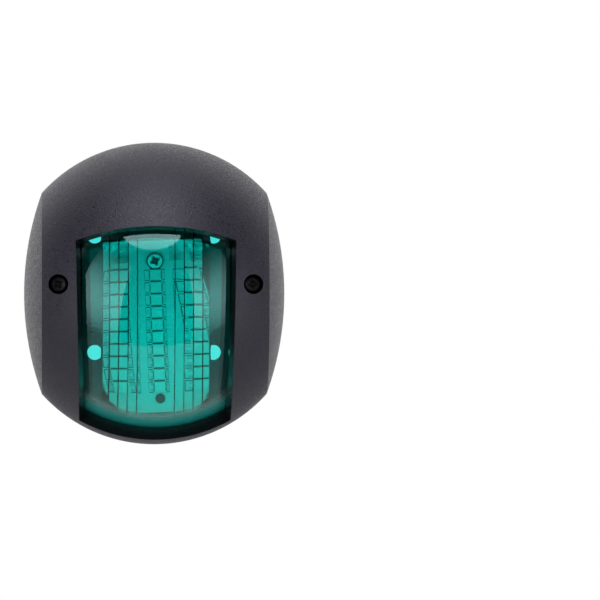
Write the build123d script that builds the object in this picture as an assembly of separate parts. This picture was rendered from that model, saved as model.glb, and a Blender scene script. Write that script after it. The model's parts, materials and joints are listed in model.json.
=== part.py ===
from build123d import *
import math
import os

# Surface-mounted LED side light for a boat, in millimetres.
# Everything is drawn face on: X to the right, Y up, Z out from the wall, with the back of the
# base plate on Z = 0. save() turns each piece so that Z is up and the light faces -Y.

# Outline and dome. The cover's front is a sphere about the middle of the base plate's front
# face. Each side is a larger sphere that meets the dome on the straight upright edge.
DOME_R = 41.5
HALF_WIDTH = 35.8
SIDE_EDGE_X = 30.9
COVER_WALL = 2.5
SIDE_CENTRE = (DOME_R**2 - HALF_WIDTH**2) / (2 * (HALF_WIDTH - SIDE_EDGE_X))
SIDE_R = HALF_WIDTH + SIDE_CENTRE

# Base plate
BASE_T = 3.5
BASE_SETBACK = 0.2
RIB_H = 2.0
RIB_T = 1.2
RIB_CLEARANCE = 0.35

# Window: its walls run towards the dome's centre, so every edge is part of a cone or plane
# through it. Each side leans in towards the bottom, and the top is arched. The cut stands a
# hair off the dome's centre, so that none of its spheres and the dome's share a middle.
WINDOW_HALF_X = 21.5
WINDOW_SIDE_LEAN = 1.25
WINDOW_TOP_Y = 18.2
WINDOW_CORNER_Y = 14.4
WINDOW_LIP = 1.4
WINDOW_OVERLAP = 2.0
WINDOW_OFFSET = (0.01, 0.007, 0.013)
COLLAR_W = 4.5
COLLAR_EDGE = 0.1

# Lens: its sphere is centred on the back of its flange, one gasket out from the dome's centre
GASKET_T = 2.0
LENS_RECESS = 2.25
LENS_R = DOME_R - GASKET_T - LENS_RECESS
LENS_CLEARANCE = 0.3
LENS_T = 2.2
LENS_WALL = 2.0
LENS_HALF_X = 21.5
LENS_TOP_Y = 20.6
FLANGE_W = 1.0
FLANGE_T = 2.0
SKIRT_T = 1.3
FLUTE_START = 4.82
FLUTE_PITCH = 2.446
FLUTE_COUNT = 3
FLUTE_EDGE_X = 14.12
FLUTE_SLOPE = 0.4
FLUTE_CROWN_R = 88.0
FLUTE_DRAFT = 0.25

# Cover screws and their brass inserts
SCREW_Y = 2.5
SCREW_R = 1.5
SCREW_HOLE_R = 1.75
COUNTERBORE_R = 2.7
HEAD_R = 2.45
HEAD_H = 1.9
SEAT_DEPTH = 11.5
COVER_BOSS_R = 4.2
BASE_BOSS_R = 3.1
BASE_BOSS_H = 6.0
BASE_BOSS_GAP = 0.25
INSERT_R = 2.1
INSERT_L = 5.2
INSERT_CLEARANCE = 0.05
INSERT_GRIP = 0.85
O_RING_SECTION_R = 0.45
O_RING_CLEARANCE = 0.1
HEAD_ROUNDING = 0.45
RECESS_ARM = (2.6, 0.65)
RECESS_DEPTH = 1.1
COVER_SCREW_TURNS = (35, 12)

# Mounting holes through the base plate
MOUNT_PITCH_X = 32.8
MOUNT_PITCH_Y = 32.2
MOUNT_MID_Y = -0.2
MOUNT_HOLE_R = 2.1

# LED board, drawn from its screw and turned by a small play about it
BOARD_SCREW_X = 0.05
BOARD_SCREW_Y = 8.9
BOARD_TURN = 2.3
BOARD_LIFT = 6.9
BOARD_T = 1.6
BOARD_LEFT = -11.3
BOARD_RIGHT = 10.5
BOARD_TOP = 5.5
BOARD_FOOT_GAP = 2.3
BOARD_STEP_UP = (4.0, 5.2)
BOARD_LEFT_STEP = 0.5
BOARD_RIGHT_STEP = 1.4
BOARD_CORNER_CUT = (2.0, 2.6)
BOARD_SCREW_R = 1.25
BOARD_SCREW_HOLE_R = 1.4
BOARD_HEAD_R = 2.35
BOARD_HEAD_H = 1.5
BOARD_RECESS_ARM = (2.9, 0.8)
BOARD_SCREW_TURN = 25
BOARD_INSERT_R = 1.9
BOARD_INSERT_L = 4.2
PILLAR_R = 3.2
PIN_UP = 3.6
PIN_R = 1.15
PIN_HOLE_R = 1.35
PIN_RISE = 0.3
REST_X = 9.0
REST_Y = -23.5
REST_R = 1.6

# LED packages
LED_PITCH_Y = 3.39
LED_FIRST_Y = -3.85
LED_PIN_GAP = 2.9
LED_COLUMN_X = 7.75
LED_SIZE = (3.5, 2.8, 0.8)
LED_WINDOW = (2.9, 2.2, 0.25)
LED_TAB = (0.75, 0.75, 0.16)
LED_TAB_OFFSET_Y = 0.8

# Small parts on the board: middle of each, measured from the board screw
RESISTOR_SIZE = (1.2, 1.2, 0.5)
RESISTOR_END_W = 0.4
RESISTOR_PLACES = [(-9.9, 3.7), (-6.9, 3.7), (4.3, 3.9), (7.3, 3.9), (10.2, 3.9)]
DIODE_SIZE = (3.0, 1.8, 1.2)
DIODE_PLACE = (-7.0, 0.5)
CAPACITOR_SIZE = (1.3, 2.0, 0.9)
CAPACITOR_PLACE = (4.6, 0.9)
IC_SIZE = (1.5, 2.5, 0.9)
IC_PLACE = (8.6, 0.7)
LEG_SIZE = (0.6, 0.4, 0.2)
LEG_PITCH = 0.95
LEGS_PER_SIDE = 3

# Supply inlet and the two leads inside
INLET_X = -2.0
INLET_Y = -9.3
INLET_R = 4.0
GROMMET_LIP_R = 4.9
GROMMET_LIP_T = 0.8
GROMMET_GAP = 0.6
LEAD_R = 0.65
LEAD_PITCH = 1.9
LEAD_BORE_CLEARANCE = 0.05
LEAD_GAP = 0.12
LEAD_BEND_R = 1.2
LEAD_LOOP_GAP = {"black": 1.6, "red": 2.5}
SOLDER_X = -7.0
SOLDER_DROP = 1.5
SOLDER_SIZE = (1.8, 1.7, 1.6)
SOLDER_ROUNDING = 0.42

# Reach of a cut that passes through everything
FAR = 60.0

# Levels and places that follow from the values above
BASE_FACE = BASE_T
FLANGE_BACK = BASE_FACE + GASKET_T
FLANGE_FRONT = FLANGE_BACK + FLANGE_T
BOARD_BACK = BASE_FACE + BOARD_LIFT
BOARD_FRONT = BOARD_BACK + BOARD_T
LENS_INNER_R = LENS_R - LENS_T
LENS_INNER_X = LENS_HALF_X - LENS_WALL
LENS_ROOM_R = math.sqrt(LENS_INNER_R**2 - (BOARD_FRONT - FLANGE_BACK) ** 2)
BOARD_BOTTOM = BOARD_FOOT_GAP - LENS_ROOM_R - BOARD_SCREW_Y
PIN_Y = BOARD_BOTTOM + PIN_UP
LED_ROWS = 1 + math.floor((LED_FIRST_Y - PIN_Y - LED_PIN_GAP) / LED_PITCH_Y)
SCREW_X = LENS_HALF_X + LENS_CLEARANCE + SKIRT_T + BASE_BOSS_GAP + BASE_BOSS_R
SCREW_FACE = BASE_FACE + math.sqrt(DOME_R**2 - SCREW_X**2 - SCREW_Y**2)
SCREW_SEAT = SCREW_FACE - SEAT_DEPTH
BOSS_TOP = BASE_FACE + BASE_BOSS_H


def save(shape, name):
    """Turn a piece upright and write it."""
    export_step(Rot(90, 0, 0) * shape, "parts/" + name + ".step")


def slab(x_half, y_low, y_high, z_low, z_high):
    """A block between heights, centred left to right."""
    middle = Pos(0, (y_low + y_high) / 2, (z_low + z_high) / 2)
    return middle * Box(2 * x_half, y_high - y_low, z_high - z_low)


def block(size, x, y, z_low):
    """A small block that stands on z_low."""
    return Pos(x, y, z_low + size[2] / 2) * Box(*size)


def post(radius, x, y, z_low, z_high):
    """A round post between two heights."""
    return Pos(x, y, (z_low + z_high) / 2) * Cylinder(radius, z_high - z_low)


def on_board(shape):
    """Place what is drawn from the board screw onto the turned board."""
    return Pos(BOARD_SCREW_X, BOARD_SCREW_Y, 0) * Rot(0, 0, BOARD_TURN) * shape


def group(pieces):
    """Several separate solids as one node."""
    return Compound(list(pieces))


def outline(inset):
    """Flat outline of the cover's rim, moved inwards by inset."""
    face = Circle(DOME_R - inset)
    for side in (-1, 1):
        face &= Pos(side * SIDE_CENTRE, 0) * Circle(SIDE_R - inset)
    return face


def dome_body(inset):
    """The cover's solid form, moved inwards by inset."""
    body = Sphere(DOME_R - inset)
    for side in (-1, 1):
        body &= Pos(side * SIDE_CENTRE, 0, 0) * Sphere(SIDE_R - inset)
    body &= slab(FAR, -FAR, FAR, 0, FAR)
    return Pos(0, 0, BASE_FACE) * body


def shell_section(low_angle, high_angle):
    """Flat slice of a thick shell about the dome's centre, angles measured from Y."""
    inner, outer = LENS_INNER_R, DOME_R + COVER_WALL
    middle = (low_angle + high_angle) / 2

    def at(radius, angle):
        return (radius * math.sin(angle), radius * math.cos(angle))

    return make_face(Curve() + [
        ThreePointArc(at(outer, low_angle), at(outer, middle), at(outer, high_angle)),
        Line(at(outer, high_angle), at(inner, high_angle)),
        ThreePointArc(at(inner, high_angle), at(inner, middle), at(inner, low_angle)),
        Line(at(inner, low_angle), at(outer, low_angle)),
    ])


def window_block(low_x, high_x, top_y, bottom_y):
    """Part of a thick shell about the X axis, its edges being measured on the dome."""
    section = shell_section(math.asin(low_x / DOME_R), math.asin(high_x / DOME_R))
    start = math.degrees(math.acos(top_y / DOME_R))
    end = math.degrees(math.acos(bottom_y / DOME_R))
    return revolve(Rot(start, 0, 0) * section, Axis.X, revolution_arc=end - start)


def under_arch():
    """The part of a thick shell below the window's arched top edge."""
    corner_z = math.sqrt(DOME_R**2 - WINDOW_HALF_X**2 - WINDOW_CORNER_Y**2)
    top_z = math.sqrt(DOME_R**2 - WINDOW_TOP_Y**2)
    lean = math.atan2(WINDOW_TOP_Y - WINDOW_CORNER_Y, top_z - corner_z)
    offset = top_z * math.sin(lean) - WINDOW_TOP_Y * math.cos(lean)
    section = shell_section(0, math.acos(offset / DOME_R))
    cap = revolve(section, Axis.Y)
    return Rot(180 - math.degrees(lean), 0, 0) * cap


def window_cut():
    """The window's whole opening through the cover."""
    low, high = -WINDOW_OVERLAP, WINDOW_HALF_X
    rows = (WINDOW_TOP_Y + 2 * WINDOW_OVERLAP, WINDOW_LIP - DOME_R)
    right = Rot(0, 0, -WINDOW_SIDE_LEAN) * window_block(low, high, *rows)
    left = Rot(0, 0, WINDOW_SIDE_LEAN) * window_block(-high, -low, *rows)
    return Pos(*WINDOW_OFFSET) * Pos(0, 0, BASE_FACE) * ((right + left) & under_arch())


def lens_outline(grow):
    """Flat outline of the lens body: a circle cut by two sides and a top."""
    face = Circle(LENS_R + grow)
    middle_y = (LENS_TOP_Y + grow - FAR) / 2
    box = Rectangle(2 * (LENS_HALF_X + grow), LENS_TOP_Y + grow + FAR)
    return face & (Pos(0, middle_y) * box)


def prism(face, z_low, z_high):
    """A flat face raised between two heights."""
    return Pos(0, 0, z_low) * extrude(face, z_high - z_low)


def screw_places():
    """The two cover screws, left and right."""
    return [(-SCREW_X, SCREW_Y), (SCREW_X, SCREW_Y)]


def mount_places():
    """The four mounting holes."""
    rows = (MOUNT_MID_Y - MOUNT_PITCH_Y / 2, MOUNT_MID_Y + MOUNT_PITCH_Y / 2)
    return [(side * MOUNT_PITCH_X / 2, y) for side in (-1, 1) for y in rows]


def lead_bores():
    """Where the two leads pass through the grommet."""
    half = LEAD_PITCH / 2
    return {"black": (INLET_X, INLET_Y + half), "red": (INLET_X, INLET_Y - half)}


def base_plate():
    """Plate with bosses for the cover screws and pillars for the LED board."""
    plate = prism(outline(BASE_SETBACK), 0, BASE_FACE)
    rib_out = COVER_WALL + RIB_CLEARANCE
    rib = prism(outline(rib_out) - outline(rib_out + RIB_T), BASE_FACE, BASE_FACE + RIB_H)
    lens_room = LENS_HALF_X + FLANGE_W + 2 * RIB_CLEARANCE
    rib -= slab(lens_room, -FAR, 0, 0, FAR)
    plate += rib
    for x, y in screw_places():
        plate += post(BASE_BOSS_R, x, y, BASE_FACE, BOSS_TOP)
    plate += on_board(post(PILLAR_R, 0, 0, BASE_FACE, BOARD_BACK))
    plate += on_board(post(PILLAR_R, 0, PIN_Y, BASE_FACE, BOARD_BACK))
    plate += on_board(post(PIN_R, 0, PIN_Y, BOARD_BACK, BOARD_FRONT + PIN_RISE))
    for side in (-1, 1):
        plate += on_board(post(REST_R, side * REST_X, REST_Y, BASE_FACE, BOARD_BACK))
    for x, y in screw_places():
        plate -= post(INSERT_R, x, y, BOSS_TOP - INSERT_L, BOSS_TOP)
    plate -= on_board(post(BOARD_INSERT_R, 0, 0, BOARD_BACK - BOARD_INSERT_L, BOARD_BACK))
    for x, y in mount_places():
        plate -= post(MOUNT_HOLE_R, x, y, 0, BASE_FACE)
    plate -= post(INLET_R, INLET_X, INLET_Y, 0, BASE_FACE)
    return plate


def window_collar():
    """The thicker ring round the window and the skirt that holds the lens flange down."""
    reach = WINDOW_HALF_X + COLLAR_W
    rows = (WINDOW_TOP_Y + COLLAR_W, COLLAR_EDGE - DOME_R)
    ring = Pos(0, 0, BASE_FACE) * window_block(-reach, reach, *rows)
    ring &= dome_body(COVER_WALL / 2)
    ring &= slab(FAR, -FAR, FAR, FLANGE_FRONT, 2 * FAR)
    skirt_in = lens_outline(LENS_CLEARANCE)
    skirt_out = lens_outline(LENS_CLEARANCE + SKIRT_T)
    skirt = prism(skirt_out - skirt_in, FLANGE_FRONT, FAR) & dome_body(COVER_WALL / 2)
    lens_space = Pos(0, 0, FLANGE_BACK) * Sphere(LENS_R + LENS_CLEARANCE)
    return (ring - lens_space) + skirt


def cover():
    """Domed shell with the window, the screw bosses and their counterbores."""
    shell = dome_body(0) - dome_body(COVER_WALL)
    shell += window_collar()
    inside = dome_body(COVER_WALL / 2)
    for x, y in screw_places():
        shell += post(COVER_BOSS_R, x, y, BOSS_TOP, FAR) & inside
    shell -= prism(lens_outline(LENS_CLEARANCE), 0, FAR) & (
        Pos(0, 0, FLANGE_BACK) * Sphere(LENS_R + LENS_CLEARANCE)
    )
    shell -= window_cut()
    for x, y in screw_places():
        shell -= post(SCREW_HOLE_R, x, y, 0, FAR)
        shell -= post(COUNTERBORE_R, x, y, SCREW_SEAT, FAR)
    return shell


def inner_radius(x):
    """Distance of the lens's plain inner sphere from the X axis."""
    return math.sqrt(LENS_INNER_R**2 - x**2)


def flute_facet(near, far):
    """One flute in section: a steep step out, then a slightly crowned facet."""
    foot = (far, inner_radius(far))
    head_x = near + FLUTE_DRAFT
    head = (head_x, foot[1] + FLUTE_SLOPE * (far - head_x) * (near + far) / 2 / LENS_INNER_R)
    sag = (far - head_x) ** 2 / (8 * FLUTE_CROWN_R)
    crown = ((head_x + far) / 2, (head[1] + foot[1]) / 2 - sag)
    return [Line((near, inner_radius(near)), head), ThreePointArc(head, crown, foot)]


def sphere_run(near, far):
    """Plain stretch of the lens's inner sphere in section."""
    return ThreePointArc(*((x, inner_radius(x)) for x in (near, (near + far) / 2, far)))


def flute_section():
    """Half section of the hollow behind the lens's front, with one step at each flute."""
    edges = [FLUTE_START + i * FLUTE_PITCH for i in range(FLUTE_COUNT + 1)] + [FLUTE_EDGE_X]
    lines = [Line((0, 0), (0, LENS_INNER_R)), sphere_run(0, FLUTE_START)]
    for near, far in zip(edges, edges[1:]):
        lines += flute_facet(near, far)
    lines.append(sphere_run(FLUTE_EDGE_X, LENS_INNER_X))
    lines.append(Line((LENS_INNER_X, inner_radius(LENS_INNER_X)), (LENS_INNER_X, 0)))
    lines.append(Line((LENS_INNER_X, 0), (0, 0)))
    return make_face(Curve() + lines)


def lens():
    """Domed lens with upright walls, a flange and flutes on the inside."""
    ball = Pos(0, 0, FLANGE_BACK) * Sphere(LENS_R)
    body = prism(lens_outline(0), FLANGE_BACK, FAR) & ball
    body += prism(lens_outline(FLANGE_W), FLANGE_BACK, FLANGE_FRONT)
    half = revolve(flute_section(), Axis.X)
    drum = Pos(0, 0, FLANGE_BACK) * (half + mirror(half, Plane.YZ))
    room = prism(lens_outline(-LENS_WALL), 0, FAR)
    return body - (drum & room)


def lens_gasket():
    """Flat ring between the lens flange and the base plate."""
    ring = lens_outline(FLANGE_W) - lens_outline(-LENS_WALL)
    return prism(ring, BASE_FACE, FLANGE_BACK)


def cross_recess(arm, depth, top):
    """Tapered cross for a screwdriver, cut down from top."""
    cut = Pos(0, 0, top - depth / 2) * Cone(arm[1] / 2, arm[0] / 3, depth)
    for angle in (0, 90):
        wing = Plane.XZ * Pos(0, top) * Polygon(
            (-arm[0] / 2, 0), (arm[0] / 2, 0), (arm[1] / 2, -depth), (-arm[1] / 2, -depth),
            align=None,
        )
        cut += Rot(0, 0, angle) * extrude(wing, arm[1] / 2, both=True)
    return cut


def pan_screw(shank_r, tip, head_r, head_h, seat, arm):
    """Pan head screw standing on Z, its shank a plain rod."""
    head = Pos(0, 0, seat + head_h / 2) * Cylinder(head_r, head_h)
    top_edge = head.edges().group_by(Axis.Z)[-1]
    head = fillet(top_edge, HEAD_ROUNDING * head_h)
    shank = post(shank_r, 0, 0, tip, seat)
    return head + shank - cross_recess(arm, RECESS_DEPTH, seat + head_h)


def cover_screws():
    """Two screws, their heads deep in the cover."""
    seat = SCREW_SEAT + 2 * O_RING_SECTION_R
    tip = BOSS_TOP - INSERT_GRIP * INSERT_L
    screw = pan_screw(SCREW_R, tip, HEAD_R, HEAD_H, seat, RECESS_ARM)
    places = zip(screw_places(), COVER_SCREW_TURNS)
    return group(Pos(x, y, 0) * Rot(0, 0, turn) * screw for (x, y), turn in places)


def screw_o_rings():
    """Rubber rings that seal the cover screw holes."""
    ring_r = SCREW_R + O_RING_CLEARANCE + O_RING_SECTION_R
    ring = Torus(ring_r, O_RING_SECTION_R)
    return group(Pos(x, y, SCREW_SEAT + O_RING_SECTION_R) * ring for x, y in screw_places())


def cover_inserts():
    """Brass inserts for the cover screws, in the base bosses."""
    bore = SCREW_R + INSERT_CLEARANCE
    sleeves = []
    for x, y in screw_places():
        sleeve = post(INSERT_R, x, y, BOSS_TOP - INSERT_L, BOSS_TOP)
        sleeves.append(sleeve - post(bore, x, y, BOSS_TOP - INSERT_L, BOSS_TOP))
    return group(sleeves)


def board_insert():
    """Brass insert for the board screw, in its pillar."""
    low = BOARD_BACK - BOARD_INSERT_L
    sleeve = post(BOARD_INSERT_R, 0, 0, low, BOARD_BACK)
    return on_board(sleeve - post(BOARD_SCREW_R + INSERT_CLEARANCE, 0, 0, low, BOARD_BACK))


def board_screw():
    """Pan head screw that holds the LED board."""
    tip = BOARD_BACK - INSERT_GRIP * BOARD_INSERT_L
    return on_board(
        Rot(0, 0, BOARD_SCREW_TURN)
        * pan_screw(BOARD_SCREW_R, tip, BOARD_HEAD_R, BOARD_HEAD_H, BOARD_FRONT, BOARD_RECESS_ARM)
    )


def board_side(edge_x, step):
    """Corners down one side of the board: its edge, a step in and a cut lower corner."""
    foot_x = edge_x - step
    return [
        (edge_x, BOARD_TOP),
        (edge_x, BOARD_BOTTOM + BOARD_STEP_UP[1]),
        (foot_x, BOARD_BOTTOM + BOARD_STEP_UP[0]),
        (foot_x, BOARD_BOTTOM + BOARD_CORNER_CUT[1]),
        (foot_x - BOARD_CORNER_CUT[0], BOARD_BOTTOM),
    ]


def led_board():
    """Board with cut lower corners, a screw hole and a pin hole."""
    right = board_side(BOARD_RIGHT, BOARD_RIGHT_STEP)
    left = [(-x, y) for x, y in reversed(board_side(-BOARD_LEFT, BOARD_LEFT_STEP))]
    board = prism(make_face(Polyline(*right, *left, close=True)), BOARD_BACK, BOARD_FRONT)
    board -= post(BOARD_SCREW_HOLE_R, 0, 0, BOARD_BACK, BOARD_FRONT)
    board -= post(PIN_HOLE_R, 0, PIN_Y, BOARD_BACK, BOARD_FRONT)
    return on_board(board)


def led_places(column_x):
    """Middles of one column of LEDs."""
    return [(column_x, LED_FIRST_Y - row * LED_PITCH_Y) for row in range(LED_ROWS)]


def led_packages(column_x):
    """White package bodies of one column, each with a pocket for its window."""
    packages = []
    for x, y in led_places(column_x):
        package = block(LED_SIZE, x, y, BOARD_FRONT)
        pocket_floor = BOARD_FRONT + LED_SIZE[2] - LED_WINDOW[2]
        packages.append(on_board(package - block(LED_WINDOW, x, y, pocket_floor)))
    return group(packages)


def led_windows(column_x):
    """Light-emitting windows of one column, flush with the packages."""
    floor = BOARD_FRONT + LED_SIZE[2] - LED_WINDOW[2]
    return group(on_board(block(LED_WINDOW, x, y, floor)) for x, y in led_places(column_x))


def led_terminals(column_x):
    """Soldered tabs at both ends of each LED of one column."""
    tabs = []
    reach = (LED_SIZE[0] + LED_TAB[0]) / 2
    for x, y in led_places(column_x):
        for side in (-1, 1):
            for row in (-LED_TAB_OFFSET_Y, LED_TAB_OFFSET_Y):
                tabs.append(on_board(block(LED_TAB, x + side * reach, y + row, BOARD_FRONT)))
    return group(tabs)


def chip_resistors():
    """Bodies of the small resistors along the board's top."""
    return group(on_board(block(RESISTOR_SIZE, x, y, BOARD_FRONT)) for x, y in RESISTOR_PLACES)


def resistor_ends():
    """Metal ends of the small resistors."""
    size = (RESISTOR_END_W, RESISTOR_SIZE[1], RESISTOR_SIZE[2])
    reach = (RESISTOR_SIZE[0] + RESISTOR_END_W) / 2
    ends = []
    for x, y in RESISTOR_PLACES:
        for side in (-1, 1):
            ends.append(on_board(block(size, x + side * reach, y, BOARD_FRONT)))
    return group(ends)


def driver_legs():
    """Legs along both long sides of the driver."""
    reach = (IC_SIZE[0] + LEG_SIZE[0]) / 2
    legs = []
    for side in (-1, 1):
        for i in range(LEGS_PER_SIDE):
            y = IC_PLACE[1] + (i - (LEGS_PER_SIDE - 1) / 2) * LEG_PITCH
            legs.append(on_board(block(LEG_SIZE, IC_PLACE[0] + side * reach, y, BOARD_FRONT)))
    return group(legs)


def cable_grommet():
    """Rubber grommet in the inlet, with a bore for each lead."""
    low = GROMMET_GAP
    plug = post(INLET_R, INLET_X, INLET_Y, low, BASE_FACE)
    plug += post(GROMMET_LIP_R, INLET_X, INLET_Y, BASE_FACE, BASE_FACE + GROMMET_LIP_T)
    for x, y in lead_bores().values():
        plug -= post(LEAD_R + LEAD_BORE_CLEARANCE, x, y, 0, FAR)
    return plug


def lead_path(name):
    """Corners of a lead: up from the grommet, out past the board's edge and back behind it."""
    x, y = lead_bores()[name]
    low_z = BASE_FACE + GROMMET_LIP_T + LEAD_GAP + LEAD_R
    high_z = BOARD_BACK - LEAD_GAP - LEAD_R
    loop_x = LEAD_LOOP_GAP[name] - LENS_INNER_X
    return [
        (x, y, GROMMET_GAP),
        (x, y, low_z),
        (loop_x, y, low_z),
        (loop_x, y, high_z),
        (SOLDER_X, y - SOLDER_DROP, high_z),
    ]


def lead(name):
    """One lead, bent round tangent arcs."""
    corners = lead_path(name)
    section = Pos(*corners[0]) * Circle(LEAD_R)
    return sweep(section, path=FilletPolyline(*corners, radius=LEAD_BEND_R))


def solder_joints():
    """Solder on the back of the board, against the bared end of each lead."""
    length, width, height = SOLDER_SIZE
    joints = []
    for name in lead_bores():
        (loop_x, loop_y, _), (x, y, _) = lead_path(name)[-2:]
        heading = math.degrees(math.atan2(y - loop_y, x - loop_x))
        mound = Pos(length / 2, 0, -height / 2) * Box(length, width, height)
        mound = fillet(mound.edges().group_by(Axis.Z)[0], SOLDER_ROUNDING)
        joints.append(Pos(x, y, BOARD_BACK) * Rot(0, 0, heading) * mound)
    return group(joints)


def main():
    """Write every node."""
    os.makedirs("parts", exist_ok=True)
    save(base_plate(), "base_plate")
    save(cover(), "cover")
    save(lens(), "lens")
    save(lens_gasket(), "lens_gasket")
    save(cover_screws(), "cover_screws")
    save(screw_o_rings(), "screw_o_rings")
    save(cover_inserts(), "cover_inserts")
    save(board_insert(), "board_insert")
    save(board_screw(), "board_screw")
    save(led_board(), "led_board")
    columns = {"left": -LED_COLUMN_X, "centre": 0, "right": LED_COLUMN_X}
    for side, column_x in columns.items():
        save(led_packages(column_x), "led_packages_" + side)
        save(led_windows(column_x), "led_windows_" + side)
        save(led_terminals(column_x), "led_terminals_" + side)
    save(chip_resistors(), "chip_resistors")
    save(resistor_ends(), "resistor_ends")
    save(on_board(block(DIODE_SIZE, *DIODE_PLACE, BOARD_FRONT)), "polarity_diode")
    save(on_board(block(CAPACITOR_SIZE, *CAPACITOR_PLACE, BOARD_FRONT)), "input_capacitor")
    save(on_board(block(IC_SIZE, *IC_PLACE, BOARD_FRONT)), "driver_ic")
    save(driver_legs(), "driver_legs")
    save(cable_grommet(), "cable_grommet")
    save(lead("black"), "lead_black")
    save(lead("red"), "lead_red")
    save(solder_joints(), "lead_solder_joints")


main()
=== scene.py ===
import json
import math

import bmesh
import bpy
from mathutils import Matrix, Vector


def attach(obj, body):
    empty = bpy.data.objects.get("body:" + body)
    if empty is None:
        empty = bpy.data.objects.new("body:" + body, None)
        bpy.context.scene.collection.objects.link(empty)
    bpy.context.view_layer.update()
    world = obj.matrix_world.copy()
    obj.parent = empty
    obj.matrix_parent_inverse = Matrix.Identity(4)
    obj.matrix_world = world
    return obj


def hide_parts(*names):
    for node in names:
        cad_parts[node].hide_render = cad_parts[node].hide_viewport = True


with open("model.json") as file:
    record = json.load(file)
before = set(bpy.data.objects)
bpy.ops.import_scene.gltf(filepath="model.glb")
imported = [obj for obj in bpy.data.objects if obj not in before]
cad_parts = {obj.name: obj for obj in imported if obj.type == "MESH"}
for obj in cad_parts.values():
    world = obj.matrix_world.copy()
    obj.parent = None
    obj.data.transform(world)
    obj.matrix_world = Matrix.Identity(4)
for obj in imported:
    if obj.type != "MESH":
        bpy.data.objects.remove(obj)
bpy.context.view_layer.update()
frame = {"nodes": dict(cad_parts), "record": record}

MM = 0.001

# Camera: the frame's side, where the light's middle stands in it, and the size of a pixel there
IMAGE_PX = 600
OBJECT_PX = (154.0, 293.5)
PX_SIZE = 0.2757 * MM
CAMERA_DISTANCE = 2.0
VIEW_FROM_LEFT = 0.9

# Studio: the world's brightness from the dark room in front to the white wall behind
ROOM_FRONT = 0.1
ROOM_BACK = 0.55
ROOM_DARK = 0.02
ROOM_WHITE = 1.0
FLOOR_LEVEL = -0.35
FLOOR_FRONT = -0.37
FLOOR_HALF = 1.5

# Softboxes: name, (azimuth, elevation), distance, size, strength, shape, edge's share, roll
SOFTBOXES = [
    ("top_front", (-3.5, 54.5), 0.6, (0.48, 0.40), 5.0, "ELLIPSE", 0.5, 0),
    ("overhead", (0, 84), 0.8, (0.5, 0.36), 2.2, "RECTANGLE", 0.5, 0),
    ("left_side", (-47, -4), 1.0, (0.7, 1.4), 2.6, "RECTANGLE", 0.08, -17),
    ("right_side", (52, -4), 1.0, (0.74, 1.4), 2.4, "RECTANGLE", 0.08, 11),
]

# Cover: its skin's grain, and the smooth walls of the window, which start this far inside
DOME_R = 41.5 * MM
WINDOW_HALF_X = 21.9 * MM
WINDOW_WALL_DEPTH = 0.12 * MM
GRAIN_SCALE = 2000.0
GRAIN_HEIGHT = 0.17 * MM
GRAIN_STRENGTH = 0.9
WALL_STRENGTH_LOSS = 0.88
SKIN_ROUGHNESS = (-0.18, 1.2)
WALL_ROUGHNESS = 0.2

# Lens: its own frame has its sphere's centre as origin, Y up and Z out of the wall. The slope
# of its flutes grows by FLUTE_TWIST for each metre of height.
DOME_CENTRE_Y = -3.5 * MM
LENS_CENTRE_Y = -5.5 * MM
LENS_R = 37.25 * MM
LENS_HALF_X = 21.5 * MM
LENS_TOP = 20.6 * MM
LENS_WALL = 2.0 * MM
LENS_INNER_R = LENS_R - 2.2 * MM
FLANGE_W = 1.0 * MM
FLANGE_LEVELS = (0.0, 2.0 * MM)
FLUTE_START = 4.82 * MM
FLUTE_PITCH = 2.446 * MM
FLUTE_COUNT = 3
FLUTE_EDGE_X = 14.12 * MM
FLUTE_SLOPE = 0.5
FLUTE_TWIST = 12.0
FLUTE_CROWN_R = 88.0 * MM
FLUTE_DRAFT = 0.25 * MM
LENS_ROWS = 180
SHARP_ANGLE = math.radians(25)
MERGE_DISTANCE = 1e-7
SLIVER_LENGTH = 1e-8

# Cloudiness of the lens's foot, between two distances from the light's middle line
LENS_CLOUD = 0.19
CLOUD_ROUGHNESS = 0.5
CLOUD_RADII = (32.3 * MM, 34.8 * MM)
LENS_ROUGHNESS = 0.02
LENS_IOR = 1.586
LENS_ABSORPTION = 1200.0

# LED board: its screw, with painted shade on its head, its turn about it, the rows of LEDs, and
# dark marks on the board:
# frames round the solder pads, where the mask is open, partly bare board and partly painted shade;
# and painted shade as bars between the rows and as seams beside the middle LEDs
BOARD_SCREW = (0.05 * MM, 8.9 * MM)
BOARD_TURN = math.radians(2.3)
BOARD_FRONT_Y = -12.0 * MM
BOARD_HEAD_R = 2.35 * MM
BOARD_HEAD_Y = -13.5 * MM
# Painted shade on the board screw's head: near black below this depth under its face, and in a ring
# this wide round its rim
PAINTED_SHADE_DEPTH = 0.35 * MM
PAINTED_RIM_SHADE = 0.3 * MM
LED_COLUMNS = (-7.75 * MM, 0.0, 7.75 * MM)
LED_ROWS = 10
LED_FIRST = -3.85 * MM
LED_PITCH = 3.39 * MM
# Painted shade: dark bars between the LED rows (width, height)
ROW_SHADE_BAR = (3.1 * MM, 0.45 * MM)
PAD_FRAMES = ((-2.38 * MM, 1.24 * MM), (2.12 * MM, 0.78 * MM))
PAD_HEIGHT = 2.8 * MM
PAD_LINE = 0.24 * MM
PAD_SIDE_LINE = 0.1 * MM
LED_HEIGHT = 0.8 * MM
# Painted shadow: dark seams beside the middle LEDs (their offset, then their width and height)
SEAM_SHADE_X = 1.62 * MM
SEAM_SHADE = (0.28 * MM, 2.3 * MM)
MASK_DEPTH = 0.02 * MM


# ---------------------------------------------------------------- node helpers

def add_node(tree, kind, inputs=None, **settings):
    """A shader node with its settings made, and its inputs linked or set."""
    node = tree.nodes.new("ShaderNode" + kind)
    for key, value in settings.items():
        setattr(node, key, value)
    for key, value in (inputs or {}).items():
        if isinstance(value, bpy.types.NodeSocket):
            tree.links.new(value, node.inputs[key])
        else:
            node.inputs[key].default_value = value
    return node


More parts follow.
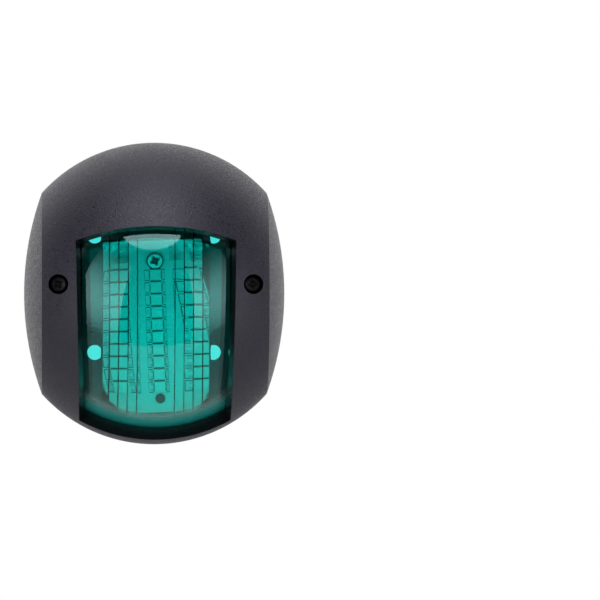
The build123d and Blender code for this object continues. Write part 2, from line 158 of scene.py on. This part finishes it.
class Nodes:
    """Short calls for building a material's node tree."""

    def __init__(self, name):
        self.material = bpy.data.materials.new(name)
        self.material.use_nodes = True
        self.tree = self.material.node_tree
        self.tree.nodes.clear()
        self.out = self.add("OutputMaterial")

    def add(self, kind, inputs=None, **settings):
        return add_node(self.tree, kind, inputs, **settings)

    def object_coords(self):
        return self.add("TexCoord").outputs["Object"]

    def noise(self, scale, detail=2.0, roughness=0.5, vector=None):
        vector = vector or self.object_coords()
        inputs = {"Vector": vector, "Scale": scale, "Detail": detail, "Roughness": roughness}
        return self.add("TexNoise", inputs).outputs["Fac"]

    def math(self, operation, a, b=0.0, clamp=False):
        return self.add("Math", {0: a, 1: b}, operation=operation, use_clamp=clamp).outputs[0]

    def mix(self, factor, a, b):
        node = self.add("Mix", data_type="RGBA")
        sockets = {"Factor": factor, "A": a, "B": b}
        for socket in node.inputs:
            if not socket.enabled or socket.name not in sockets:
                continue
            value = sockets[socket.name]
            if isinstance(value, bpy.types.NodeSocket):
                self.tree.links.new(value, socket)
            else:
                socket.default_value = value
        return next(o for o in node.outputs if o.enabled)

    def ramp(self, factor, low, high):
        inputs = {"Value": factor, "From Min": low, "From Max": high}
        return self.add("MapRange", inputs).outputs["Result"]

    def bump(self, height, strength, distance):
        return self.add(
            "Bump", {"Height": height, "Strength": strength, "Distance": distance}
        ).outputs["Normal"]

    def principled(self, **inputs):
        named = {key.replace("_", " "): value for key, value in inputs.items()}
        shader = self.add("BsdfPrincipled", named)
        self.tree.links.new(shader.outputs[0], self.out.inputs["Surface"])
        return shader


def rgb(red, green, blue):
    return (red, green, blue, 1.0)


# ---------------------------------------------------------------- materials

def cover_plastic():
    """Black grained ABS, smooth and glossier on the walls of the window."""
    n = Nodes("cover_abs")
    coords = n.object_coords()
    grain = n.noise(GRAIN_SCALE, 3.0, 0.65, coords)
    beside = n.math("ABSOLUTE", n.add("SeparateXYZ", {0: coords}).outputs["X"])
    in_x = n.math("LESS_THAN", beside, WINDOW_HALF_X)
    centre = (0.0, DOME_CENTRE_Y, 0.0)
    out = n.add("VectorMath", {0: coords, 1: centre}, operation="DISTANCE").outputs["Value"]
    inside = n.math("LESS_THAN", out, DOME_R - WINDOW_WALL_DEPTH)
    wall = n.math("MULTIPLY", in_x, inside)
    skin = n.mix(n.ramp(grain, 0.3, 0.7), rgb(0.01, 0.009, 0.0165), rgb(0.028, 0.0255, 0.0385))
    color = n.mix(wall, skin, rgb(0.004, 0.005, 0.0055))
    start, spread = SKIN_ROUGHNESS
    matt = n.math("ADD", n.math("MULTIPLY", grain, spread), start)
    rough = n.add("Mix", {"Factor": wall, "A": matt, "B": WALL_ROUGHNESS}, data_type="FLOAT")
    loss = n.math("MULTIPLY", wall, WALL_STRENGTH_LOSS)
    strength = n.math("SUBTRACT", GRAIN_STRENGTH, loss)
    shader = n.principled(
        Base_Color=color,
        Roughness=rough.outputs[0],
        Normal=n.bump(grain, strength, GRAIN_HEIGHT),
    )
    shader.inputs["Specular Tint"].default_value = rgb(0.9, 0.87, 1.0)
    return n.material


def base_plastic():
    """Smooth black ABS with faint moulding variation."""
    n = Nodes("base_abs")
    grain = n.noise(900.0, 2.0)
    color = n.mix(n.noise(150.0), rgb(0.012, 0.013, 0.014), rgb(0.02, 0.021, 0.022))
    n.principled(Base_Color=color, Roughness=0.38, Normal=n.bump(grain, 0.15, 0.03 * MM))
    return n.material


def green_polycarbonate():
    """Clear green plastic, coloured by its thickness and slightly cloudy at its foot."""
    n = Nodes("green_polycarbonate")
    flat = n.add("VectorMath", {0: n.object_coords(), 1: (1, 0, 1)}, operation="MULTIPLY")
    out = n.add("VectorMath", {0: flat.outputs["Vector"]}, operation="LENGTH")
    foot = n.ramp(out.outputs["Value"], *CLOUD_RADII)
    shader = n.principled(
        Base_Color=n.mix(foot, rgb(1, 1, 1), rgb(0.0, 0.82, 0.8)),
        Transmission_Weight=n.math("SUBTRACT", 1.0, n.math("MULTIPLY", foot, LENS_CLOUD)),
        Roughness=n.math("ADD", n.math("MULTIPLY", foot, CLOUD_ROUGHNESS), LENS_ROUGHNESS),
        IOR=LENS_IOR,
    )
    shader.inputs["Specular Tint"].default_value = rgb(0.6, 1, 1)
    path = n.add("LightPath")
    clear = n.add("BsdfTransparent", {"Color": rgb(0.93, 0.95, 0.95)})
    blend = n.add("MixShader", {
        0: path.outputs["Is Shadow Ray"], 1: shader.outputs[0], 2: clear.outputs[0]})
    n.tree.links.new(blend.outputs[0], n.out.inputs["Surface"])
    tint = n.add("VolumeAbsorption", {
        "Color": rgb(0.0, 0.9296, 0.9058), "Density": LENS_ABSORPTION})
    n.tree.links.new(tint.outputs[0], n.out.inputs["Volume"])
    return n.material


def rubber():
    """Soft black rubber with a dusty bloom."""
    n = Nodes("gasket_rubber")
    color = n.mix(n.noise(400.0, 4.0), rgb(0.012, 0.012, 0.012), rgb(0.03, 0.03, 0.029))
    n.principled(Base_Color=color, Roughness=0.62, Normal=n.bump(n.noise(1500.0), 0.2, 0.02 * MM))
    return n.material


def metal(name, light, dark, roughness):
    """Turned or tinned metal with fine tool marks."""
    n = Nodes(name)
    marks = n.noise(3500.0, 4.0, 0.7)
    color = n.mix(marks, rgb(*dark), rgb(*light))
    rough = n.math("ADD", n.math("MULTIPLY", marks, 0.15), roughness - 0.07)
    n.principled(Base_Color=color, Metallic=1.0, Roughness=rough,
                 Normal=n.bump(marks, 0.12, 0.01 * MM))
    return n.material


def metal_with_painted_shade(name, light, dark, roughness):
    """Turned metal with painted shade: near black in its recess, and a painted shadow ring round
    the rim of its head.
    """
    n = Nodes(name)
    marks = n.noise(3500.0, 4.0, 0.7)
    coords = n.object_coords()
    depth = n.add("SeparateXYZ", {0: coords}).outputs["Y"]
    axis = (BOARD_SCREW[0], BOARD_HEAD_Y, BOARD_SCREW[1])
    out = n.add("VectorMath", {0: coords, 1: axis}, operation="DISTANCE").outputs["Value"]
    # Painted shade: the recess below the head's face and a ring round its rim are coloured near
    # black
    painted_recess_shade = n.math("GREATER_THAN", depth, BOARD_HEAD_Y + PAINTED_SHADE_DEPTH)
    rim = n.math("GREATER_THAN", out, BOARD_HEAD_R - PAINTED_RIM_SHADE)
    shade = n.math("MAXIMUM", painted_recess_shade, rim)
    color = n.mix(shade, n.mix(marks, rgb(*dark), rgb(*light)), rgb(0.02, 0.02, 0.02))
    n.principled(Base_Color=color, Metallic=1.0, Roughness=roughness,
                 Normal=n.bump(marks, 0.12, 0.01 * MM))
    return n.material


def plain_plastic(name, light, dark, roughness, scale=500.0, bump=0.1):
    """Moulded or coated piece with slight colour variation and texture."""
    n = Nodes(name)
    texture = n.noise(scale, 3.0)
    color = n.mix(texture, rgb(*dark), rgb(*light))
    n.principled(Base_Color=color, Roughness=roughness,
                 Normal=n.bump(texture, bump, 0.02 * MM))
    return n.material


def materials_by_slot():
    """One finished material for each slot of the record."""
    return {
        "cover_abs": cover_plastic(),
        "base_abs": base_plastic(),
        "green_polycarbonate": green_polycarbonate(),
        "gasket_rubber": rubber(),
        "stainless_steel": metal("stainless_steel", (0.6, 0.6, 0.61), (0.42, 0.42, 0.43), 0.32),
        "brass": metal("brass", (0.8, 0.6, 0.27), (0.62, 0.44, 0.18), 0.3),
        "white_solder_mask": plain_plastic(
            "white_solder_mask", (0.86, 0.88, 0.87), (0.8, 0.82, 0.81), 0.35),
        "led_package": plain_plastic("led_package", (0.9, 0.9, 0.88), (0.84, 0.84, 0.82), 0.4),
        "led_phosphor": plain_plastic(
            "led_phosphor", (0.94, 0.95, 0.93), (0.91, 0.92, 0.88), 0.25, 1500.0),
        "solder": metal("solder", (0.72, 0.73, 0.75), (0.5, 0.5, 0.52), 0.35),
        "chip_black": plain_plastic("chip_body", (0.5, 0.5, 0.48), (0.42, 0.42, 0.4), 0.5),
        "capacitor_tan": plain_plastic(
            "capacitor_tan", (0.62, 0.56, 0.46), (0.56, 0.5, 0.4), 0.4),
        "black_insulation": plain_plastic(
            "black_insulation", (0.022, 0.022, 0.022), (0.012, 0.012, 0.012), 0.35, 900.0),
        "red_brown_insulation": plain_plastic(
            "red_brown_insulation", (0.34, 0.07, 0.04), (0.26, 0.05, 0.03), 0.35, 900.0),
    }


# ---------------------------------------------------------------- lens

def sphere_at(radius, x):
    return math.sqrt(radius**2 - x**2)


def steps(start, end, count):
    """Evenly spaced values from start up to but not including end."""
    return [start + (end - start) * i / count for i in range(count)]


def flute_facet(near, far, slope, count=10):
    """One flute in section: a steep step, then a slightly crowned facet."""
    foot_x, foot_r = far, sphere_at(LENS_INNER_R, far)
    head_x = near + FLUTE_DRAFT
    rise = slope * (far - head_x) * (near + far) / 2 / LENS_INNER_R
    points = [(near, sphere_at(LENS_INNER_R, near))]
    for x in steps(head_x, foot_x, count):
        along = (x - head_x) / (foot_x - head_x)
        sag = (x - head_x) * (foot_x - x) / (2 * FLUTE_CROWN_R)
        points.append((x, foot_r + rise * (1 - along) - sag))
    return points


def inner_section(height):
    """The fluted inner surface in section at a height, from one side wall to the other."""
    slope = FLUTE_SLOPE + FLUTE_TWIST * height
    edge = LENS_HALF_X - LENS_WALL
    edges = [FLUTE_START + i * FLUTE_PITCH for i in range(FLUTE_COUNT + 1)] + [FLUTE_EDGE_X]
    half = [(x, sphere_at(LENS_INNER_R, x)) for x in steps(0.0, FLUTE_START, 12)]
    for near, far in zip(edges, edges[1:]):
        half += flute_facet(near, far, slope)
    half += [(x, sphere_at(LENS_INNER_R, x)) for x in steps(FLUTE_EDGE_X, edge, 12)]
    half.append((edge, sphere_at(LENS_INNER_R, edge)))
    return [(-x, r) for x, r in reversed(half[1:])] + half


def lens_grid(section_at, top, low):
    """Rows of points over sections turned about the X axis, between a low and a top edge."""
    top_section = section_at(top)
    level_r = top_section[len(top_section) // 2][1]
    rows = []
    for i in range(LENS_ROWS + 1):
        along = i / LENS_ROWS
        level_angle = (1 - along) * -math.acos(low / level_r) + along * math.asin(top / level_r)
        row = []
        for (x, r), (_, top_r) in zip(section_at(level_r * math.sin(level_angle)), top_section):
            angle = (1 - along) * -math.acos(low / r) + along * math.asin(top / top_r)
            row.append((x, r * math.sin(angle), r * math.cos(angle)))
        rows.append(row)
    return rows


def rim(rows):
    """The points round a grid's edge, in order."""
    right = [row[-1] for row in rows[1:-1]]
    left = [row[0] for row in rows[1:-1]]
    return rows[0] + right + rows[-1][::-1] + left[::-1]


def at_level(loop, level):
    return [(x, y, level) for x, y, _ in loop]


def grown(loop, side, top, out):
    """A flat loop moved outwards: sides and top straight, the rest away from the middle."""
    moved = []
    for x, y, z in loop:
        on_side, on_top = abs(x) > side - 1e-6, y > top - 1e-6
        length = math.hypot(x, y)
        dx = math.copysign(out, x) if on_side else (0.0 if on_top else out * x / length)
        dy = out if on_top else (0.0 if on_side else out * y / length)
        moved.append((x + dx, y + dy, z))
    return moved


def upright(point):
    """From the lens's own frame to the world."""
    return (point[0], LENS_CENTRE_Y - point[2], point[1])


def add_grid(mesh, rows):
    verts = [[mesh.verts.new(upright(p)) for p in row] for row in rows]
    for low, high in zip(verts, verts[1:]):
        for i in range(len(low) - 1):
            mesh.faces.new((low[i], low[i + 1], high[i + 1], high[i]))


def add_ring(mesh, first, second):
    lower = [mesh.verts.new(upright(p)) for p in first]
    upper = [mesh.verts.new(upright(p)) for p in second]
    for i in range(len(lower)):
        j = (i + 1) % len(lower)
        mesh.faces.new((lower[i], lower[j], upper[j], upper[i]))


def smooth_object(name, mesh, material):
    """Turns a bmesh into an object, smooth except at sharp edges."""
    data = bpy.data.meshes.new(name)
    mesh.to_mesh(data)
    mesh.free()
    data.shade_smooth()
    data.set_sharp_from_angle(angle=SHARP_ANGLE)
    data.materials.append(material)
    obj = bpy.data.objects.new(name, data)
    bpy.context.scene.collection.objects.link(obj)
    return obj


def lens_shell(material):
    """The lens with finely cut curves: dome, walls, flange and the flutes inside."""
    low, high = FLANGE_LEVELS
    count = len(inner_section(0.0)) - 1
    outer_xs = [2 * LENS_HALF_X * i / count - LENS_HALF_X for i in range(count + 1)]
    outer = [(x, sphere_at(LENS_R, x)) for x in outer_xs]
    outside = lens_grid(lambda height: outer, LENS_TOP, high)
    inside = lens_grid(inner_section, LENS_TOP - LENS_WALL, low)
    shoulder = at_level(rim(outside), high)
    flange = grown(shoulder, LENS_HALF_X, LENS_TOP, FLANGE_W)
    loops = [rim(outside), shoulder, flange, at_level(flange, low),
             at_level(rim(inside), low), rim(inside)]
    mesh = bmesh.new()
    add_grid(mesh, outside)
    add_grid(mesh, inside)
    for first, second in zip(loops, loops[1:]):
        add_ring(mesh, first, second)
    bmesh.ops.remove_doubles(mesh, verts=mesh.verts, dist=MERGE_DISTANCE)
    bmesh.ops.dissolve_degenerate(mesh, edges=mesh.edges, dist=SLIVER_LENGTH)
    bmesh.ops.recalc_face_normals(mesh, faces=mesh.faces)
    shell = smooth_object("lens_shell", mesh, material)
    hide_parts("lens")
    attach(shell, "cover_set")


# ---------------------------------------------------------------- board details

def on_board(x, y, depth):
    """From the board's own frame, about its screw, to the world."""
    cos, sin = math.cos(BOARD_TURN), math.sin(BOARD_TURN)
    return (BOARD_SCREW[0] + x * cos - y * sin, BOARD_FRONT_Y - depth,
            BOARD_SCREW[1] + x * sin + y * cos)


def add_plate(mesh, x, y, width, height, foot=0.0):
    """A thin flat plate, standing a given height off the board's face."""
    corners = [(-1, -1), (1, -1), (1, 1), (-1, 1)]
    rings = []
    for level in (foot, foot + MASK_DEPTH):
        rings.append([
            mesh.verts.new(on_board(x + i * width / 2, y + j * height / 2, level))
            for i, j in corners
        ])
    mesh.faces.new(rings[1])
    for i in range(4):
        j = (i + 1) % 4
        mesh.faces.new((rings[0][i], rings[0][j], rings[1][j], rings[1][i]))


def add_pad_edge(mesh, x, y, middle, width):
    """The opening in the mask round a pad, partly bare board and partly painted shade: its two
    ends, and its side away from the LED.
    """
    outer = middle + math.copysign(width / 2, middle)
    add_plate(mesh, x + outer, y, PAD_SIDE_LINE, PAD_HEIGHT)
    for side in (-1, 1):
        add_plate(mesh, x + middle, y + side * PAD_HEIGHT / 2, width, PAD_LINE)


def pad_frames_and_painted_shade(material):
    """Dark plates on the board: frames round each LED's pads, partly bare board and partly painted
    shade, and painted shade between the LED rows and beside the middle LEDs.
    """
    mesh = bmesh.new()
    for column in LED_COLUMNS:
        for row in range(LED_ROWS):
            y = LED_FIRST - row * LED_PITCH
            # Painted shade: a dark bar between this row of LEDs and the next
            add_plate(mesh, column, y + LED_PITCH / 2, *ROW_SHADE_BAR)
            for middle, width in PAD_FRAMES:
                add_pad_edge(mesh, column, y, middle, width)
            # Painted shadow: dark seams beside the middle column's LEDs, standing at the LEDs'
            # height
            for side in (-1, 1) if column == 0.0 else ():
                add_plate(mesh, column + side * SEAM_SHADE_X, y, *SEAM_SHADE, LED_HEIGHT)
    bmesh.ops.recalc_face_normals(mesh, faces=mesh.faces)
    frames_and_shade = smooth_object("pad_frames_and_painted_shade", mesh, material)
    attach(frames_and_shade, "base")


def dress_cad_nodes():
    """Gives every CAD node the material of its slot."""
    materials = materials_by_slot()
    for part in frame["record"]["subparts"]:
        obj = frame["nodes"][part["node"]]
        obj.data.materials.clear()
        obj.data.materials.append(materials[part["material_slot"]])
    # The board screw gets turned nickel with painted shade in its recess and round its head's rim
    screw = frame["nodes"]["board_screw"].data.materials
    screw.clear()
    screw.append(metal_with_painted_shade("nickel_painted_shade", (0.75, 0.75, 0.73), (0.55, 0.55, 0.53), 0.3))
    return materials


# ---------------------------------------------------------------- stage, light, camera

def world_light():
    """White behind the light and to the camera, with a dark room in front of it."""
    world = bpy.data.worlds.new("studio")
    bpy.context.scene.world = world
    world.use_nodes = True
    tree = world.node_tree
    tree.nodes.clear()
    facing = add_node(tree, "TexCoord").outputs["Generated"]
    direction = add_node(tree, "SeparateXYZ", {0: facing})
    around = add_node(tree, "MapRange", {
        "Value": direction.outputs["Y"], "From Min": ROOM_FRONT, "From Max": ROOM_BACK,
        "To Min": ROOM_DARK, "To Max": ROOM_WHITE}, interpolation_type="SMOOTHSTEP")
    path = add_node(tree, "LightPath").outputs
    seen = add_node(tree, "Math", {
        0: path["Is Camera Ray"], 1: path["Is Transmission Ray"]}, operation="MAXIMUM")
    strength = add_node(tree, "Math", {
        0: around.outputs["Result"], 1: seen.outputs[0]}, operation="MAXIMUM")
    shade = add_node(tree, "Background", {
        "Color": rgb(1, 1, 1), "Strength": strength.outputs[0]})
    add_node(tree, "OutputWorld", {"Surface": shade.outputs[0]})


def fade_from_middle(data, place, up, half_height, middle, edge):
    """Makes an area light's glow fall from its middle to its upper and lower edges."""
    data.use_nodes = True
    tree = data.node_tree
    position = add_node(tree, "NewGeometry").outputs["Position"]
    offset = add_node(tree, "VectorMath", {0: position, 1: place}, operation="SUBTRACT")
    along = add_node(tree, "VectorMath", {0: offset.outputs[0], 1: up}, operation="DOT_PRODUCT")
    height = add_node(tree, "Math", {0: along.outputs["Value"]}, operation="ABSOLUTE")
    fade = add_node(tree, "MapRange", {
        "Value": height.outputs[0], "From Min": 0.0, "From Max": half_height,
        "To Min": middle, "To Max": edge}, interpolation_type="SMOOTHSTEP")
    glow = tree.nodes["Emission"]
    tree.links.new(fade.outputs["Result"], glow.inputs["Strength"])


def softbox(name, direction, distance, size, strength, shape, edge, roll):
    """An area light aimed at the object, of a given strength as seen from there."""
    data = bpy.data.lights.new(name, "AREA")
    data.shape = shape
    data.size, data.size_y = size
    data.energy = 1.0
    light = bpy.data.objects.new(name, data)
    bpy.context.scene.collection.objects.link(light)
    azimuth, elevation = (math.radians(angle) for angle in direction)
    place = Vector((math.sin(azimuth) * math.cos(elevation),
                    -math.cos(azimuth) * math.cos(elevation), math.sin(elevation)))
    light.location = place * distance
    aim = (-place).to_track_quat("-Z", "Y").to_matrix()
    aim = aim @ Matrix.Rotation(math.radians(roll), 3, "Z")
    light.rotation_euler = aim.to_euler()
    area = size[0] * size[1] * (math.pi / 4 if shape == "ELLIPSE" else 1.0)
    power = strength * math.pi * area
    fade_from_middle(data, light.location, aim.col[1], size[1] / 2, power, edge * power)


def camera():
    """Looks straight at the base plane, turned with its rig about the object's middle."""
    data = bpy.data.cameras.new("camera")
    data.sensor_fit = "HORIZONTAL"
    frame_width = IMAGE_PX * PX_SIZE
    data.angle = 2 * math.atan(frame_width / 2 / CAMERA_DISTANCE)
    obj = bpy.data.objects.new("camera", data)
    bpy.context.scene.collection.objects.link(obj)
    right = (IMAGE_PX / 2 - OBJECT_PX[0]) * PX_SIZE
    up = (OBJECT_PX[1] - IMAGE_PX / 2) * PX_SIZE
    own_turn = math.atan(right / CAMERA_DISTANCE)
    rig = Matrix.Rotation(-own_turn - math.radians(VIEW_FROM_LEFT), 4, "Z")
    local = Matrix.Translation((right, -CAMERA_DISTANCE, up)) @ Matrix.Rotation(math.pi / 2, 4, "X")
    obj.matrix_world = rig @ local
    bpy.context.scene.camera = obj


def backdrop():
    """A pale table below the light, whose front edge is mirrored in the lens."""
    mesh = bpy.data.meshes.new("floor")
    corners = [(-FLOOR_HALF, FLOOR_FRONT), (FLOOR_HALF, FLOOR_FRONT),
               (FLOOR_HALF, FLOOR_HALF), (-FLOOR_HALF, FLOOR_HALF)]
    mesh.from_pydata([(x, y, FLOOR_LEVEL) for x, y in corners], [], [(0, 1, 2, 3)])
    floor = bpy.data.objects.new("floor", mesh)
    bpy.context.scene.collection.objects.link(floor)
    mesh.materials.append(plain_plastic("floor", (0.86, 0.86, 0.86), (0.82, 0.82, 0.82), 0.8, 20.0))


scene = bpy.context.scene
scene.view_settings.view_transform = "Standard"
camera()
world_light()
for settings in SOFTBOXES:
    softbox(*settings)
backdrop()
finishes = dress_cad_nodes()
lens_shell(finishes["green_polycarbonate"])
# Dark plates on the board: bare board round the pads, partly painted shade, and painted shade
# between and beside the LEDs
pad_frames_and_painted_shade(plain_plastic("laminate_and_painted_shade", (0.1, 0.11, 0.08), (0.06, 0.07, 0.05), 0.5))
